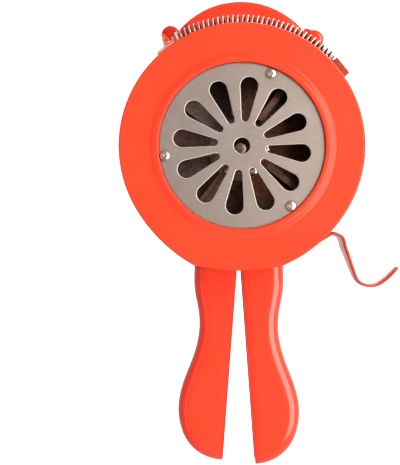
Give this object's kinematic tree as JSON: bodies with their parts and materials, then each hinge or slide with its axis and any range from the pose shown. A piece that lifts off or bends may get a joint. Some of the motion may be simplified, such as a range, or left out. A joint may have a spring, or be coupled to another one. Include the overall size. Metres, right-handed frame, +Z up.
{
  "type": "hand crank siren",
  "caption": "Hand-held crank siren: ported drum with a bladed rotor, slotted intake grille, trigger ring with a return spring, geared rear crank and a two-part grip.",
  "frame": {"origin": "middle of the two-part grip, between its halves, where a hand holds it", "axes": "+Z up along the grip towards the drum, -Y the way the intake grille faces, +X towards the trigger hook"},
  "size_m": [0.175, 0.1345, 0.3013],
  "materials": {
    "red_paint": "gloss enamel",
    "grille_steel": "brushed",
    "zinc": "yellow zinc plating",
    "spring_steel": "bright drawn wire",
    "cast_aluminium": "as cast",
    "gear_steel": "cut and oiled",
    "crank_steel": "gloss enamel",
    "brass": "turned",
    "black_plastic": "moulded"
  },
  "bodies": {
    "housing": {"front_housing": "red_paint", "intake_grille": "grille_steel", "grille_screws": "zinc", "spring_anchor": "red_paint", "anchor_strap": "gear_steel", "anchor_screw": "zinc", "back_plate": "red_paint", "plate_screws": "zinc", "case_mount_screws": "zinc", "left_grip": "red_paint", "right_grip": "red_paint", "grip_screws": "zinc", "gear_case": "red_paint", "gear_case_cover": "red_paint", "case_screws": "zinc", "front_rotor_bearing": "gear_steel", "rear_rotor_bearing": "gear_steel", "idler_axle": "gear_steel", "crank_bush": "brass", "return_spring": "spring_steel"},
    "rotor": {"rotor_wheel": "cast_aluminium", "rotor_hub": "cast_aluminium", "hub_screws": "zinc", "rotor_shaft": "gear_steel", "rotor_nut": "gear_steel", "rotor_pinion": "gear_steel"},
    "idler": {"idler_gear": "gear_steel"},
    "crank": {"crank_gear": "gear_steel", "crank_shaft": "gear_steel", "crank_arm": "crank_steel", "crank_nut": "zinc", "knob_spindle": "gear_steel"},
    "knob": {"crank_knob": "black_plastic"},
    "shutter": {"shutter_ring": "red_paint", "trigger_hook": "red_paint", "trigger_rivets": "zinc"}
  },
  "joints": [
    {"name": "crank_turn", "type": "hinge", "parent": "housing", "child": "crank", "pos_m": [0.00141, 0.0175, 0.19038], "axis": [0, 1, 0], "continuous": true},
    {"name": "idler_turn", "type": "hinge", "parent": "housing", "child": "idler", "pos_m": [0.0007, -0.001, 0.16519], "axis": [0, 1, 0], "continuous": true},
    {"name": "rotor_turn", "type": "hinge", "parent": "housing", "child": "rotor", "pos_m": [0, -0.012, 0.14], "axis": [0, 1, 0], "continuous": true},
    {"name": "knob_turn", "type": "hinge", "parent": "crank", "child": "knob", "pos_m": [0.00141, 0.049, 0.10538], "axis": [0, 1, 0], "continuous": true},
    {"name": "shutter_turn", "type": "hinge", "parent": "housing", "child": "shutter", "pos_m": [0, -0.028, 0.14], "axis": [0, 1, 0], "range_deg": [0, 16], "stiffness_Nm_per_rad": 1.5, "springref_deg": -30.37, "deforming": ["return_spring"]}
  ],
  "couplings": [
    {"joint": "idler_turn", "follows": "crank_turn", "ratio": -5},
    {"joint": "rotor_turn", "follows": "crank_turn", "ratio": 25}
  ]
}
